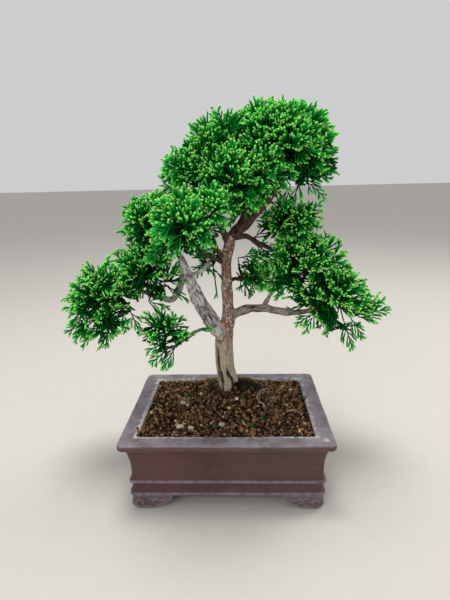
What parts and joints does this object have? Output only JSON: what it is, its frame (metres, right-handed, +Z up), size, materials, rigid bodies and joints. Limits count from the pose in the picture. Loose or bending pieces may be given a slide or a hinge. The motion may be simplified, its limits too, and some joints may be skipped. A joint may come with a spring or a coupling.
{
  "type": "potted juniper bonsai",
  "caption": "Juniper bonsai with pads of scale foliage on a forked trunk, mounded granular soil, in a rectangular unglazed stoneware pot on four scroll feet.",
  "frame": {"origin": "on the standing surface, under the middle of the pot and of the tree's spread", "axes": "+Z up, +X along the pot's long side to the right as seen from the front, +Y to the back of the tree"},
  "size_m": [0.3422, 0.1822, 0.3806],
  "materials": {
    "stoneware": "matte",
    "screen_plastic": "matte",
    "screen_wire": "satin",
    "soil": "matte",
    "trunk_bark": "matte",
    "silver_bark": "matte",
    "dark_bark": "matte",
    "grey_bark": "matte",
    "foliage": "matte",
    "pebble_pale": "matte",
    "pebble_white": "matte",
    "pebble_orange": "matte",
    "pebble_grey": "matte",
    "pebble_dark": "matte",
    "moss": "matte",
    "dry_leaf": "matte",
    "pale_root": "matte"
  },
  "bodies": {
    "root": {"pot": "stoneware", "drain_screen_left": "screen_plastic", "screen_wire_left": "screen_wire", "drain_screen_right": "screen_plastic", "screen_wire_right": "screen_wire", "soil": "soil", "trunk": "trunk_bark", "crown_branch": "dark_bark", "left_limb": "silver_bark", "right_low_limb": "grey_bark", "left_crown_branch": "dark_bark", "crown_front_twig": "dark_bark", "rear_crown_branch": "dark_bark", "right_upper_branch": "dark_bark", "front_twig_upper": "dark_bark", "front_twig_lower": "dark_bark", "rear_twig": "dark_bark", "left_rear_limb": "silver_bark", "left_side_twig": "silver_bark", "low_left_twig": "grey_bark", "right_rising_twig": "grey_bark", "foliage_crown_top": "foliage", "foliage_crown_left": "foliage", "foliage_crown_front": "foliage", "foliage_crown_right": "foliage", "foliage_crown_rear": "foliage", "foliage_front": "foliage", "foliage_left_middle": "foliage", "foliage_left_inner": "foliage", "foliage_left_outer": "foliage", "foliage_low_left": "foliage", "foliage_right_upper": "foliage", "foliage_right_inner": "foliage", "foliage_right_outer": "foliage", "foliage_rear_low": "foliage", "foliage_inner_left": "foliage", "pebble_pale_large": "pebble_pale", "pebble_pale_rear": "pebble_pale", "pebble_buff": "pebble_pale", "pebble_white": "pebble_white", "pebble_orange": "pebble_orange", "pebble_grey": "pebble_grey", "pebble_dark": "pebble_dark", "moss_left": "moss", "moss_right": "moss", "dry_leaf": "dry_leaf", "surface_rootlet": "pale_root"}
  },
  "joints": []
}
